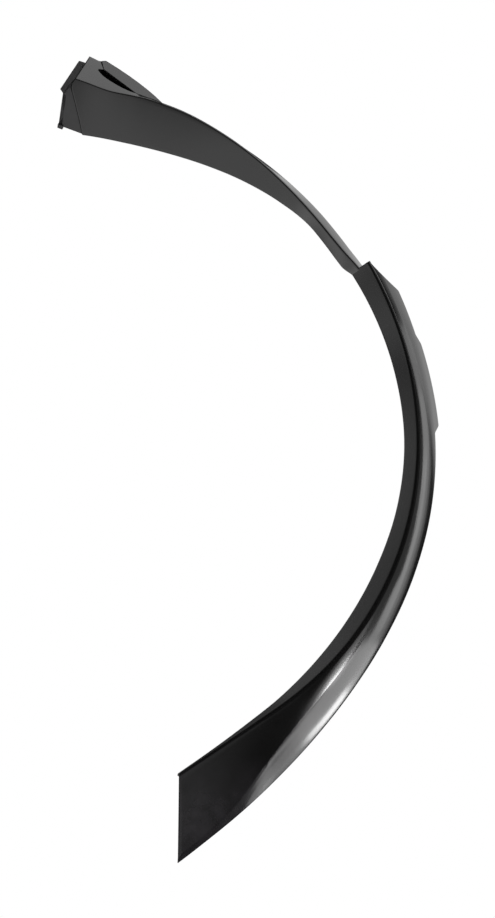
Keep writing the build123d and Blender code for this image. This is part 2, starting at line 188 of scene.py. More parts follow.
# angle, crease out, lip in, lip cut, face width, face fall, flank width, flank cut,
# face lean, flank lean, edge round, crease round
quarter_lines = np.array([
    (-33, 0, 6.2, 0, 12, 5.8, 21, 0, 1.5, 3, 6, 3),
    (-24, 0, 3.4, 0, 12, 5.8, 20.4, 0, 1.5, 4, 6, 3),
    (-12, 0, 0.6, 0, 12, 5.2, 21, 0, 3, 6, 8, 3),
    (0, 0, -0.7, 0, 12, 4.6, 22.8, 0, 4, 9, 8, 3.2),
    (12, 0, 2, 0, 12, 4.3, 23.6, 0, 4, 9, 4, 4),
    (24, 0, 6, 0, 12, 3.9, 24.3, 0, 4, 9, 3, 4.4),
    (36, 0, 7.2, 0, 12.5, 3.2, 27.2, 0, 5, 9, 3, 5),
    (46, 0, 5.5, 0, 16.5, 2.4, 30.4, 0, 6, 9, 1.8, 5),
    (55, 0.5, 2.1, 2, 26, 1.6, 31.8, 0.5, 3, 9, 1.5, 5),
    (63, 3, -0.3, 9, 43, 1.2, 26.4, 5, 1, 8, 1.5, 4),
    (70, 11, -0.8, 20, 64, 1, 13, 14.5, 0.6, 5, 2.5, 3.6),
    (76, 23, -0.2, 30, 77, 1, 6, 17.5, 0.5, 3, 4, 3.6),
    (82, 40, -0.2, 33, 84, 1, 5, 17.8, 0.5, 2, 6, 3.6),
], float)


def quarter_corners(angle):
    """Lip edge, crease, face edge and rim of the quarter section, as radius and depth."""
    out, lip_in, lip_cut, face, fall, flank, flank_cut = at(quarter_lines, angle)[:7]
    crease = np.array((arch_radius + out, 0.0))
    lip = crease + (-lip_in, lip_depth - lip_cut)
    return lip, crease, crease + (face, fall), crease + (face + flank, flank_depth - flank_cut)


def full_rim(angle):
    """Radius of the flank's full outer edge."""
    return quarter_corners(angle)[3][0]


print("full rim at the door, the top and the bumper:", [round(float(full_rim(a)), 1) for a in (-33, 0, 82)], "mm")

# %% [markdown]
# ## Skin of the quarter section
# The corners of a section become a line of points: lip, fold at the crease, face, bend and flank. Rows of a mesh
# can only be joined into clean quads if every section has as many points as the next. A knife cut along the rim
# would break that. So face, bend and flank are drawn longer than they need to be, and then divided again between
# the crease and the rim.

# %% Skin of the quarter section
rim_round = 0.7
lip_lean = 0.01
run_on = 16.0
lip_steps, fold_steps, face_steps, bend_steps, flank_steps = 9, 8, 14, 6, 18
face_start = lip_steps + fold_steps + 1


def trimmed(line, outs, rim_radius):
    """Face, bend and flank cut off at the rim, with the same number of points at every angle."""
    way = np.concatenate(([0], np.cumsum(np.hypot(*np.diff(line, axis=0).T))))
    last = np.interp(rim_radius, line[:, 0], way) - rim_round
    bend_last = face_steps + bend_steps - 1
    bend_at = way[bend_last]
    anchor = min(bend_at, 0.6 * last)
    stops = np.concatenate((way[:bend_last + 1] * anchor / bend_at,
                            anchor + (last - anchor) * np.arange(1, flank_steps + 1) / flank_steps))
    return [np.stack([np.interp(stops, way, values[:, i]) for i in (0, 1)], 1) for values in (line, outs)]


def quarter_skin(angle, rim_radius):
    """Outer skin of the quarter section, from the lip's edge to the rim, with its outward directions."""
    lip, crease, edge, rim = quarter_corners(angle)
    face_lean, flank_lean = np.radians(at(quarter_lines, angle)[7:9])
    edge_round, crease_round = at(quarter_lines, angle)[9:]
    up, over = unit(crease - lip), unit(edge - crease)
    flank_way = turned(unit(rim - edge), -flank_lean)
    fold, fold_outs = corner(crease, up, turned(over, -face_lean), crease_round, fold_steps)
    bend, bend_outs = corner(edge, turned(over, face_lean), flank_way, edge_round, bend_steps)
    lip_points, lip_outs = side(lip + up * rim_round, fold[0], lip_lean, lip_steps)
    face_points, face_outs = side(fold[-1], bend[0], face_lean, face_steps)
    flank_points, flank_outs = side(bend[-1], rim, flank_lean, flank_steps)
    beyond = flank_points[-1] + run_on * unit(flank_points[-1] - flank_points[-2])
    top, top_outs = trimmed(np.array(face_points[1:] + bend[1:] + flank_points[1:] + [beyond]),
                            np.array(face_outs[1:] + bend_outs[1:] + flank_outs[1:] + flank_outs[-1:]),
                            rim_radius)
    points = np.concatenate((lip_points[:-1], fold, top))
    outs = np.concatenate((lip_outs[:-1], fold_outs, top_outs))
    return points, outs / np.hypot(*outs.T)[:, None]


points, outs = quarter_skin(0, full_rim(0))
print("section of", len(points), "points turns", round(degrees(acos(outs[-1] @ outs[face_start])), 1),
      "degrees from the crease to the rim")

# %% [markdown]
# ## Rim of the quarter section
# The outer edge lies on the body. It starts at a corner beside the door, runs out to the full flank, carries a
# fixing flange before the crown, and then follows the flank down to the bumper. A rim could be cut with a
# boolean. A radius for each angle is simpler, and keeps the mesh in clean rows. A short average rounds its
# corners.

# %% Rim of the quarter section
door_end, bumper_end = -33.0, 82.0
door_radius = 391.2
shoulder = -26.4
shoulder_bow = 2.6
flange = ((-22, 0), (-18.4, 0), (-16.8, 7.2), (-9.9, 9.4), (-3.0, 11.6), (-1.4, 0))  # angle, reach past the flank
fine_step = 0.05  # degrees


def smoothed(line, window):
    """Angles and radii of a line, with its corners rounded over a window in degrees."""
    turns, radii = np.array(line).T
    fine = np.arange(turns[0], turns[-1] + 1e-6, fine_step)
    count = max(int(window / fine_step) | 1, 3)
    even = np.interp(fine, turns, radii)
    padded = np.concatenate((np.full(count // 2, even[0]), even, np.full(count // 2, even[-1])))
    return fine, np.convolve(padded, np.full(count, 1 / count), "valid")


def polar(point):
    """Angle and radius of a point that is given from the axle."""
    return degrees(atan2(point.x, point.z)), point.length


corner_low = spot(door_end, door_radius, 0) - axle
corner_high = spot(shoulder, full_rim(shoulder), 0) - axle
across = (corner_high - corner_low).normalized()
bowed_in = Vector((across.z, 0, -across.x)) * shoulder_bow
rim_line = [polar(corner_low.lerp(corner_high, k / 8) + bowed_in * (1 - (k / 4 - 1) ** 2)) for k in range(9)]
rim_line += [(angle, full_rim(angle) + reach) for angle, reach in flange]
rim_line += [(angle, full_rim(angle)) for angle in np.arange(0, bumper_end + 0.1, 1)]
quarter_rim = smoothed(rim_line, 0.5)
print("rim radius", round(quarter_rim[1].min(), 1), "to", round(quarter_rim[1].max(), 1), "mm")

# %% [markdown]
# ## Loop round the wall
# The moulding is a thin wall with rounded free edges. A solidify modifier could give the wall, but it leaves square
# edges. Here every row is a closed loop: outer skin, rounded rim, inner skin and rounded lip edge.

# %% Loop round the wall
wall = 2.8
round_steps = 4
edge_points = 2 * round_steps


def rounded_edge(point, out, way):
    """Points round a free edge of the wall, from its outer skin to its inner skin."""
    turns = np.arange(round_steps + 1) * pi / edge_points
    outer = point - rim_round * out
    inner = point - (wall - rim_round) * out
    first = [outer + rim_round * (out * cos(a) + way * sin(a)) for a in turns[1:]]
    return first + [inner + rim_round * (way * cos(a) - out * sin(a)) for a in turns[:-1]]


def wall_loop(points, outs):
    """Closed loop round the wall from its outer skin: skin, rim, inner skin and lip edge."""
    rim = rounded_edge(points[-1], outs[-1], -outward(outs[-1]))
    lip = rounded_edge(points[0], outs[0], outward(outs[0]))
    return np.concatenate((points, rim, (points - wall * outs)[::-1], lip[::-1]))


print("loop of", len(wall_loop(points, outs)), "points")

# %% [markdown]
# ## From a shape to a piece
# A new mesh is only a list of faces. It becomes a piece of the trim when its faces look outward, its sharp edges
# are marked and it rides on the trim's body. Shading it smooth all over would smear the light round its edges,
# and shading it flat would show every facet, so only edges that turn sharply are marked. A count of open edges
# tells whether the mesh is closed, as a moulding is.

# %% From a shape to a piece
crisp = 40  # degrees


def mark_sharp(mesh):
    """Mark the edges that turn sharply, and keep flat faces flat."""
    smooth = [face.use_smooth for face in mesh.polygons]
    mesh.set_sharp_from_angle(angle=radians(crisp))
    mesh.polygons.foreach_set("use_smooth", smooth)


def moulded(name, shape):
    """New piece on the trim's body from a shape, with its faces turned outward and its sharp edges marked."""
    bmesh.ops.recalc_face_normals(shape, faces=shape.faces)
    open_edges = sum(1 for edge in shape.edges if len(edge.link_faces) != 2)
    mesh = bpy.data.meshes.new(name)
    shape.to_mesh(mesh)
    shape.free()
    mark_sharp(mesh)
    piece = placed(name, mesh)
    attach(piece, "root")
    print(name, len(mesh.polygons), "faces,", open_edges, "open edges")
    return piece


# %% [markdown]
# ## Sweeping the wall
# The loops are joined row by row, as a loft does. The two ends of the moulding have rounded edges too, so the last
# rows draw in by the same small round before a cap closes each end. The faces of the inner skin get a second
# material, because the back of a moulding is duller than its front.

# %% Sweeping the wall
sweep_radius = 400.0  # a middling radius, which turns the ends' round into an angle


def sweep(name, angles, loops, rows, first, last):
    """Closed wall through loops at fine angles, with rows of angles, and an end angle for each point of a loop."""
    table = np.array([[tuple(spot(a, r, d)) for r, d in loop] for a, loop in zip(angles, loops)])
    count = table.shape[1]
    skin = (count - 2 * edge_points) // 2
    inner_end = 2 * skin + edge_points
    place = np.arange(count)
    partner = np.where(place < inner_end, inner_end - 1 - place, count + inner_end - 1 - place)

    def row(turns):
        i = np.clip(np.searchsorted(angles, turns) - 1, 0, len(angles) - 2)
        share = ((turns - angles[i]) / (angles[i + 1] - angles[i]))[:, None]
        return table[i, place] * (1 - share) + table[i + 1, place] * share

    def end_rows(ends, sign):
        made = []
        for a in (0, 30, 60, 90):
            line = row(ends + sign * degrees(rim_round * (1 - sin(radians(a))) / sweep_radius))
            draw_in = rim_round * (1 - cos(radians(a))) / wall
            made.append(line + (line[partner] - line) * draw_in)
        return made

    body = end_rows(first, 1)[::-1] + [row(line) for line in rows] + end_rows(last, -1)
    shape = bmesh.new()
    verts = [shape.verts.new(v) for v in np.concatenate(body) / 1000]
    quads = []
    for i in range(len(body) - 1):
        for k in range(count):
            n = (k + 1) % count
            quads.append((i * count + k, i * count + n, (i + 1) * count + n, (i + 1) * count + k))
    for start in (0, (len(body) - 1) * count):
        for k in [*range(skin + round_steps - 1), *range(count - round_steps, count)]:
            n = (k + 1) % count
            quads.append((start + k, start + n, start + partner[n], start + partner[k]))
    back = range(skin + edge_points, inner_end - 1)
    for quad in quads:
        if len(set(quad)) == 4:
            face = shape.faces.new([verts[v] for v in quad])
            face.smooth = True
            face.material_index = 1 if all(v % count in back for v in quad) else 0
    return moulded(name, shape)


# %% [markdown]
# ## The quarter moulding
# The rows stand close where the rim has corners and wider apart elsewhere. At the bumper the moulding is cut level.
# A boolean could cut it, but it would leave slivers. So the last rows fan out, and each line along the moulding
# ends at the angle where it meets that height.

# %% Quarter moulding
bumper_cut = 88.0 + axle.z
fan_start, fan_end = 66, 79.2
flange_corners = np.concatenate((np.arange(-19, -16, 0.1), np.arange(-4, -1, 0.1)))


def cut_angles(angles, loops, test):
    """Angle at which each line along the moulding first passes a test, counted from the far end."""
    values = np.array([[test(spot(a, r, d)) for r, d in loop] for a, loop in zip(angles, loops)])
    found = []
    for line in values.T:
        i = int(np.argmax(line < 0))
        found.append(angles[i - 1] + (angles[i] - angles[i - 1]) * line[i - 1] / (line[i - 1] - line[i]))
    return np.array(found)


fine_angles = np.unique(np.concatenate((np.arange(door_end, bumper_end + 0.01, 0.25),
                                        np.arange(door_end, -26, 0.1), flange_corners)).round(3))
quarter_loops = [wall_loop(*quarter_skin(a, np.interp(a, *quarter_rim))) for a in fine_angles]
quarter_ends = cut_angles(fine_angles, quarter_loops, lambda p: p.z - bumper_cut)
row_angles = np.unique(np.concatenate((np.arange(-32.75, 79, 0.5), fine_angles[fine_angles < -26],
                                       flange_corners)).round(3))
quarter_rows = []
for a in row_angles[row_angles > -32.8]:
    share = max(a - fan_start, 0) / (fan_end - fan_start)
    quarter_rows.append(np.where(a > fan_start, fan_start + (quarter_ends - fan_start) * share, a))
quarter = sweep("quarter_moulding", fine_angles, quarter_loops, quarter_rows,
                np.full(len(quarter_ends), door_end), quarter_ends)
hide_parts("arch_trim")

# %% [markdown]
# ## Dog-leg section
# In front of the quarter section the trim steps back behind the door and runs down to the sill. It has a lip that
# grows broad towards the sill, a crease, and one flank, which opens into a tab at the end. It is drawn as the
# quarter section is, from a table of its own, because the same rows and loops then serve for both.

# %% Dog-leg section
recess = 19.0
leg_round = 2.2
leg_lip_lean, leg_flank_lean = 0.03, radians(2)
# angle, crease out, lip in, lip deeper, flank width, flank fall
leg_lines = np.array([
    (-100, 18, 60, 22, 34, 8),
    (-95, 7.5, 50.5, 21, 38, 8.5),
    (-90, -1, 43.5, 20, 43, 9),
    (-86, -1, 44, 19.5, 29.5, 10),
    (-82, 0.9, 45.4, 18.5, 9, 13),
    (-76, 0.6, 42.9, 16, 6.5, 16),
    (-68, -2.8, 33.8, 12, 7, 16),
    (-60, -7, 21.8, 8, 11.5, 16),
    (-52, -10.7, 10.3, 4, 16.2, 16),
    (-45, -12.3, 3, 1, 19.3, 16),
    (-40, -11.6, 3.5, 0, 19.5, 16),
    (-36, -8.2, 5.8, 0, 17.8, 16),
    (-34.6, -6.1, 6.7, 0, 17, 16),
    (-32.6, -3.6, 2.5, 0, 16, 16),
], float)


def leg_corners(angle):
    """Lip edge, crease and rim of the dog-leg section, as radius and depth."""
    out, lip_in, deeper, flank, fall = at(leg_lines, angle)
    crease = np.array((arch_radius + out, recess))
    return crease + (-lip_in, lip_depth + deeper - recess), crease, crease + (flank, fall)


def leg_skin(angle, rim_radius):
    """Outer skin of the dog-leg section, from the lip's edge to the rim, with its outward directions."""
    lip, crease, rim = leg_corners(angle)
    up, way = unit(crease - lip), unit(rim - crease)
    rim = crease + way * (rim_radius - crease[0]) / way[0]
    fold, fold_outs = corner(crease, up, turned(way, -leg_flank_lean), leg_round, 8)
    lip_points, lip_outs = side(lip + up * rim_round, fold[0], leg_lip_lean, 12)
    flank_points, flank_outs = side(fold[-1], rim - way * rim_round, leg_flank_lean, 14)
    points = np.array(lip_points[:-1] + fold + flank_points[1:])
    return points, np.array(lip_outs[:-1] + fold_outs + flank_outs[1:])


lip_deep = [round(float(leg_corners(a)[0][1] - recess), 1) for a in (-33, -90)]
print("lip is", lip_deep, "mm deep at the step and the sill")

# %% [markdown]
# ## Rim of the dog-leg section
# At the sill the rim follows the outline of the tab and of a raised pad beside it, with a small notch between the
# two. A table by angles would be hard to read here. So the outline is listed as points of the side view, in
# millimetres from the axle, and turned into angles and radii. Above the pad the rim is the flank's own edge.

# %% Rim of the dog-leg section
leg_door_end = -32.6
pad_clear = 0.7  # the rim hides this far inside the pad's edge


def side_view(pairs):
    """Points of the side view from their places along and up, seen from the axle."""
    return [Vector((x, 0, z)) for x, z in pairs]


pad_edge = side_view(((-428.6, -3.4), (-421.4, 10.7), (-413.4, 25), (-406.5, 36), (-399.1, 47), (-391.6, 56.9),
                      (-382.9, 66.9)))
tab_corner, notch = side_view(((-432.3, -24.6), (-427.7, -12.2)))
tab_run = tab_corner + (tab_corner - notch) * 3
outline = [tab_run, tab_corner, notch] + [point * (1 - pad_clear / point.length) for point in pad_edge[:-1]]
leg_line = [polar(start.lerp(end, k / 12)) for start, end in zip(outline, outline[1:]) for k in range(12)]
leg_line += [(a, leg_corners(a)[2][0]) for a in np.arange(-80, -32.5, 0.5)]
leg_rim = smoothed(leg_line, 0.25)
print("dog-leg rim from", round(leg_rim[0][0], 1), "to", round(leg_rim[0][-1], 1), "degrees")

# %% [markdown]
# ## The dog-leg moulding
# Its sill end is cut to a keel, lowest beside the crease. As at the bumper, the last rows fan out instead of being
# cut with a boolean, and each line of the mesh ends where it meets the nearer of the keel's two cuts.

# %% Dog-leg moulding
keel_slope, heel_slope = radians(28.5), radians(30)
keel = Vector((-397, 0, -42))
keel_way = Vector((cos(keel_slope), 0, -sin(keel_slope)))
heel = keel + keel_way * 9
leg_fan, leg_fan_long = -80, 17


def above_keel(point):
    """Height of a point over the nearer cut of the sill end."""
    place = point - axle
    door = (place - keel).dot(Vector((sin(keel_slope), 0, cos(keel_slope))))
    wheel = (place - heel).dot(Vector((-sin(heel_slope), 0, cos(heel_slope))))
    return min(door, wheel)


leg_angles = np.unique(np.concatenate((np.arange(-99.5, -32.55, 0.25), np.arange(-94, -79, 0.1),
                                       [leg_door_end])).round(3))
leg_loops = [wall_loop(*leg_skin(a, np.interp(a, *leg_rim))) for a in leg_angles]
leg_ends = cut_angles(leg_angles[::-1], leg_loops[::-1], above_keel)
leg_rows = []
for a in np.unique(np.concatenate((np.arange(-96.8, -78, 0.2), np.arange(-78, -32.8, 0.5))).round(3)):
    share = max(leg_fan - a, 0) / leg_fan_long
    leg_rows.append(np.where(a < leg_fan, leg_fan + (leg_ends - leg_fan) * share, a))
dog_leg = sweep("dog_leg_moulding", leg_angles, leg_loops, leg_rows, leg_ends,
                np.full(len(leg_ends), leg_door_end))

# %% [markdown]
# ## Plates
# Ribs, seats and end walls are flat plates of the same plastic. A scaled cube would do for a box, but most of these
# have odd outlines. So a plate is an outline in space that is pushed along its thickness, and a small bevel rounds
# its edges, as the mould's cutter does.

# %% Plates
def add_plate(shape, outline, ways):
    """Closed plate in a shape, from an outline in millimetres and its thickness, one or one for each corner."""
    ways = ways if isinstance(ways, list) else [ways] * len(outline)
    near = [shape.verts.new(point / 1000) for point in outline]
    far = [shape.verts.new((point + way) / 1000) for point, way in zip(outline, ways)]
    shape.faces.new(near)
    shape.faces.new(far[::-1])
    for i in range(len(near)):
        j = (i + 1) % len(near)
        shape.faces.new((near[j], near[i], far[i], far[j]))


def plates(name, lines, edge=0.5):
    """Piece of plates with edges rounded by a size in millimetres."""
    shape = bmesh.new()
    for outline, way in lines:
        add_plate(shape, outline, way)
    bmesh.ops.recalc_face_normals(shape, faces=shape.faces)
    sharp = [e for e in shape.edges if e.calc_face_angle() > radians(30)]
    made = bmesh.ops.bevel(shape, geom=sharp, offset=edge / 1000, segments=2, profile=0.5, affect="EDGES",
                           clamp_overlap=True)
    for face in made["faces"]:
        face.smooth = True
    return moulded(name, shape)


# %% [markdown]
# ## Sill pad and slot
# Along the tab's outer edge lies a raised pad, which runs out to a point on the flank. Between the two is a curved
# slot, and a cup behind it makes it a dark pocket. The slot could be drawn into the outlines, as the keyholes
# further down are, but it crosses the moulding's rows at a slant. So it is the one thing here that is cut with a
# boolean.

# %% Sill pad and slot
pad_back = recess + 11
cup_room, cup_front, cup_deep = 2.2, 25.7, 9.5
cut_front, cut_deep = 5, 28
slot = side_view(((-416, -7), (-415.6, -12.5), (-413.6, -13.8), (-411.2, -12), (-407.1, -8.2), (-403.5, -2.8),
                  (-400.6, 2.7), (-397.6, 9.2), (-394.4, 16.9), (-392.1, 24.6), (-390.3, 32.9)))


def behind(point, depth):
    """A point of the side view at a depth of the drawing frame."""
    return axle + point + Vector((0, depth, 0))


def grown(outline, room):
    """A convex outline of the side view, moved outward with rounded tips."""
    centre = sum(outline, Vector()) / len(outline)
    moved = []
    for before, point, after in zip(outline[-1:] + outline[:-1], outline, outline[1:] + outline[:1]):
        outs = []
        for way in (point - before, after - point):
            out = Vector((way.z, 0, -way.x)).normalized()
            outs.append(out if out.dot(point - centre) > 0 else -out)
        middle = (outs[0] + outs[1]).normalized()
        turns = [outs[0], middle, outs[1]] if outs[0].dot(outs[1]) < 0.9 else [middle]
        moved += [point + out * room for out in turns]
    return moved


def cut_out(piece, cutter):
    """Cut another object's shape out of a piece."""
    cut = piece.modifiers.new("pocket", "BOOLEAN")
    cut.object = cutter
    cut.solver = "EXACT"
    bpy.context.view_layer.update()
    done = bpy.data.meshes.new_from_object(piece.evaluated_get(bpy.context.evaluated_depsgraph_get()))
    piece.modifiers.clear()
    piece.data = done
    mark_sharp(done)
    print(piece.name, "cut,", len(done.polygons), "faces")


pad_outline = [slot[0]] + side_view([(-427.2, -9.3)]) + pad_edge + [slot[-1]]
pad_depths = [-23.93 - 0.1148 * p.x - 0.01268 * p.z for p in pad_outline]  # the pad's plane lies along the tab
sill_pad = plates("sill_pad", [([behind(p, d) for p, d in zip(pad_outline, pad_depths)],
                                [Vector((0, pad_back - d, 0)) for d in pad_depths])], 0.8)
cup_outline = [behind(p, cup_front) for p in grown(slot, cup_room)]
pocket_cup = plates("pocket_cup", [(cup_outline, Vector((0, cup_deep, 0)))], 0.6)
cutter_shape = bmesh.new()
add_plate(cutter_shape, [behind(p, cut_front) for p in slot], Vector((0, cut_deep, 0)))
bmesh.ops.recalc_face_normals(cutter_shape, faces=cutter_shape.faces)
cutter_mesh = bpy.data.meshes.new("cutter")
cutter_shape.to_mesh(cutter_mesh)
cutter_shape.free()
cutter = placed("cutter", cutter_mesh)
for piece in (dog_leg, sill_pad, pocket_cup):
    cut_out(piece, cutter)
bpy.data.objects.remove(cutter)

# %% [markdown]
# ## End plate
# The tab's end is closed by a plate that runs back into the sill, along the keel's cut. Its corners could be picked
# in space one by one. Given along the cut and along the plate's own slope, they stay in one plane.

# %% End plate
plate_slope = radians(14)
plate_start = behind(keel, recess)
plate_back = Vector((0, 1, -tan(plate_slope)))


def thickness(first, second):
    """Upward thickness of a wall that lies along two directions."""
    way = first.cross(second).normalized()
    return way * (-wall if way.z < 0 else wall)


end_corners = [plate_start + keel_way * along + plate_back * back
               for along, back in ((0, 1.8), (-28.5, 7), (-44.6, 33.4), (1, 35), (19.2, 11.5), (9, 8))]
plates("end_plate", [(end_corners, thickness(keel_way, plate_back))], 0.6)

# %% [markdown]
# ## Foot
# The lip's end is closed by a foot that hangs down behind it, with a post on its free edge and a bead at the post's
# end. It could be drawn apart and moved into place. It is drawn from two corners that the cuts above already
# give, so it follows when a cut is moved.

# %% Foot
lip_turn = -90 - degrees(21 / arch_radius)
lip, crease = leg_corners(lip_turn)[:2]
lip_in = lip + outward(unit(crease - lip)) * -wall / 2
lip_corner = spot(lip_turn, *lip_in) + Vector((0, 0, wall / 2))
heel_share = (heel.x - keel.x) / (lip_corner.x - keel.x)
foot_top = behind(heel, recess + wall / 2)
foot_top.y += (lip_corner.y - axle.y - recess) * heel_share
foot_side = plate_start + Vector((13.8, 18, -10.3))
foot_tip = foot_top + (lip_corner - foot_top) * 0.433 + (foot_side - foot_top) * 2.47
foot_up = thickness(lip_corner - foot_top, foot_tip - lip_corner)
post_way = (foot_tip - foot_side).normalized()
post_side = (lip_corner - foot_tip).normalized() * 5
post_end = foot_tip + post_way * 1.3
bead = post_end + post_side / 2 - foot_up * 0.7
bead_corners = [bead + post_way * run + post_side * half
                for run, half in ((-3.4, -0.65), (1.6, -0.65), (1.6, 0.65), (-3.4, 0.65))]
plates("foot", [([foot_top, lip_corner, foot_tip, foot_side], foot_up),
                ([foot_side, post_end, post_end + post_side, foot_side + post_side], foot_up * 1.5),
                (bead_corners, foot_up * 2.3)], 0.6)

# %% [markdown]
# ## Step
# A short wall closes the step between the two sections, where the trim dips behind the door. It could be bridged
# from one section's loop to the other's. A plate across the arch is enough, because it only shows as a thin edge.

# %% Step
step_turn = -32.95
step_line = ((383.2, 36.6), (389.1, 2.2), (389.8, 2.6), (389.8, 36.6))  # radius, depth


def along_arch(angle):
    """Direction along the arch at an angle, towards the bumper."""
    return Vector((cos(radians(angle)), 0, -sin(radians(angle))))


plates("door_step", [([spot(step_turn, r, d) for r, d in step_line], along_arch(step_turn) * wall)])

# %% [markdown]
# ## Ribs
# Thin ribs stiffen the hollow side. Straight blocks could be pushed into it, but they would stick out or leave a
# gap. So each rib takes its outline from the section at its own angle. It starts inside the wall, so that no
# seam shows, and is thinner than the wall, so that it leaves no sink mark on the face.

# %% Ribs
rib_thick = 1.8
rib_root = 1.7
rib_low, rib_high = 5, 8  # points of the lip where a rib starts, and where it joins the crease


def rib(angle, line):
    """Outline and way of thickness of a rib in the plane of one angle."""
    along = along_arch(angle) * rib_thick
    return [spot(angle, r, d) - along / 2 for r, d in line], along


def gusset(angle, skin):
    """Rib from the middle of the lip round the crease to the middle of the flank."""
    points, outs = skin
    middle = points - rib_root * outs
    reach = (middle[-1][0] + middle[len(points) // 3][0]) / 2
    line = [middle[rib_low]] + [p for p in middle[rib_high:] if p[0] < reach]
    return rib(angle, line[::2] if len(line) % 2 else line[::2] + line[-1:])


plates("quarter_ribs", [gusset(a, quarter_skin(a, np.interp(a, *quarter_rim)))
                        for a in (-29, -16, 6.5, 20.5, 35.5, 50, 61, 71)], 0.3)
plates("dog_leg_ribs", [gusset(a, leg_skin(a, np.interp(a, *leg_rim)))
                        for a in (-38, -47, -56, -65, -74, -83)], 0.3)

# %% [markdown]
# ## Clip seats
# Push-in clips hold the trim. Each slides into a keyhole in a small seat, which stands on two ribs just off the
# body panel. The keyhole could be cut with a boolean. It is drawn in the seat's outline, which gives cleaner
# edges.

# %% Clip seats
body_depth = flank_depth + wall
clip_head = 3
seat_wide, seat_long, seat_thick = 17.0, 20.0, 2.5
seat_out = 17
keyhole = 3.2


def seat_centre(angle):
    """Radius of a seat, beyond the crease, or mid-face where the face is broad."""
    crease, edge = quarter_corners(angle)[1:3]
    return max(crease[0] + seat_out, (crease[0] + edge[0]) / 2)


def seat(angle, back, outline):
    """A seat's plate and its two ribs, from the plate's outline across and out from its centre."""
    centre = seat_centre(angle)
    along = along_arch(angle)
    up = spot(angle, 1, 0) - axle
    middle = spot(angle, centre, back)
    made = [([middle + along * a + up * b for a, b in outline], Vector((0, -seat_thick, 0)))]
    for hand in (-1, 1):
        turn = angle + hand * degrees((seat_wide - rib_thick) / 2 / centre)
        points, outs = quarter_skin(turn, np.interp(turn, *quarter_rim))
        under = (points - rib_root * outs)[face_start:]
        radii = np.linspace(centre - seat_long / 2, centre + seat_long / 2, 9)
        top = [(r, min(np.interp(r, *under.T), back - 1)) for r in radii]
        made.append(rib(turn, top + [(radii[-1], back - 0.3), (radii[0], back - 0.3)]))
    return made


half, end = seat_wide / 2, seat_long / 2
arc = [(keyhole * cos(t), keyhole * sin(t)) for t in np.linspace(0, pi, 13)]
keyhole_plate = [(-half, end), (half, end), (half, -end), (keyhole, -end), *arc, (-keyhole, -end), (-half, -end)]
for name, angle in (("door", -22), ("flange", -9), ("crown", 13), ("upper", 28), ("rear", 43), ("bumper", 66)):
    plates(name + "_clip_seat", seat(angle, body_depth - clip_head, keyhole_plate), 0.3)

# %% [markdown]
# ## Locating pins
# Two pads carry round pins that set the trim's place on the body. A cylinder would have hard edges, so a pin is
# turned like wood on a lathe: rings of points from a small collar at its root to a tapered nose.

# %% Locating pins
pin_sides = 28
pin_line = ((3.0, -1.5), (3.0, -0.6), (3.6, -0.4), (3.15, 0.3), (3.0, 0.8), (3.0, 8.7), (2.8, 9.1), (1.9, 10.0),
            (1.6, 10.2))  # radius, distance behind the body panel


def pin(name, angle):
    """Round locating pin with a tapered nose, on the back of its pad."""
    shape = bmesh.new()
    turns = np.arange(pin_sides) * 2 * pi / pin_sides
    rings = []
    for radius, depth in pin_line:
        base = spot(angle, seat_centre(angle), body_depth + depth)
        ring = [base + Vector((radius * cos(t), 0, radius * sin(t))) for t in turns]
        rings.append([shape.verts.new(point / 1000) for point in ring])
    for low, high in zip(rings, rings[1:]):
        for i in range(pin_sides):
            shape.faces.new((low[i], low[i - 1], high[i - 1], high[i])).smooth = True
    shape.faces.new(rings[0])
    shape.faces.new(rings[-1])
    moulded(name, shape)


pin_plate = [(-half, end), (half, end), (half, -end), (-half, -end)]
for name, angle in (("crown", 0), ("rear", 56)):
    plates(name + "_pin_pad", seat(angle, body_depth, pin_plate), 0.3)
    pin(name + "_pin", angle)

# %% [markdown]
# ## Colours and nodes
# Colours are written as sRGB hex values, as they are read off a picture or a colour card. Shaders count in linear
# light, so one function turns the one into the other. One more adds a shader node with its settings, which keeps
# a material's list of nodes short enough to read.

# %% Colour and node helpers
def linear(code):
    """Linear RGBA from an sRGB hex code."""
    values = [int(code[i:i + 2], 16) / 255 for i in (1, 3, 5)]
    return [v / 12.92 if v <= 0.04045 else ((v + 0.055) / 1.055) ** 2.4 for v in values] + [1.0]


def add_node(tree, kind, settings=None, links=None):
    """Add a node, set its properties and inputs, and link its inputs from other nodes' outputs."""
    node = tree.nodes.new(kind)
    for name, value in (settings or {}).items():
        if isinstance(name, str) and hasattr(node, name):
            setattr(node, name, value)
        else:
            node.inputs[name].default_value = value
    for name, source in (links or {}).items():
        tree.links.new(source, node.inputs[name])
    return node


print("middle grey #808080 is", round(linear("#808080")[0], 3), "in linear light")

# %% [markdown]
# ## Black polypropylene
# Such trims are talc-filled polypropylene, injection moulded in black. The show side comes off a finely eroded
# mould, whose grain of about 0.4 mm leaves a satin gloss, and where the melt cooled against a smoother patch it
# shines more. The back comes off plain tool steel, and is duller. One flat black would look like paint. So the
# colour is nearly even, and the eye reads the plastic from its gloss: a satin mirror that is a little cloudy,
# hazy with dust towards the bumper, and paler on its edges, partly rubbed and partly a painted highlight.

# %% Black polypropylene
millimetre = 0.001


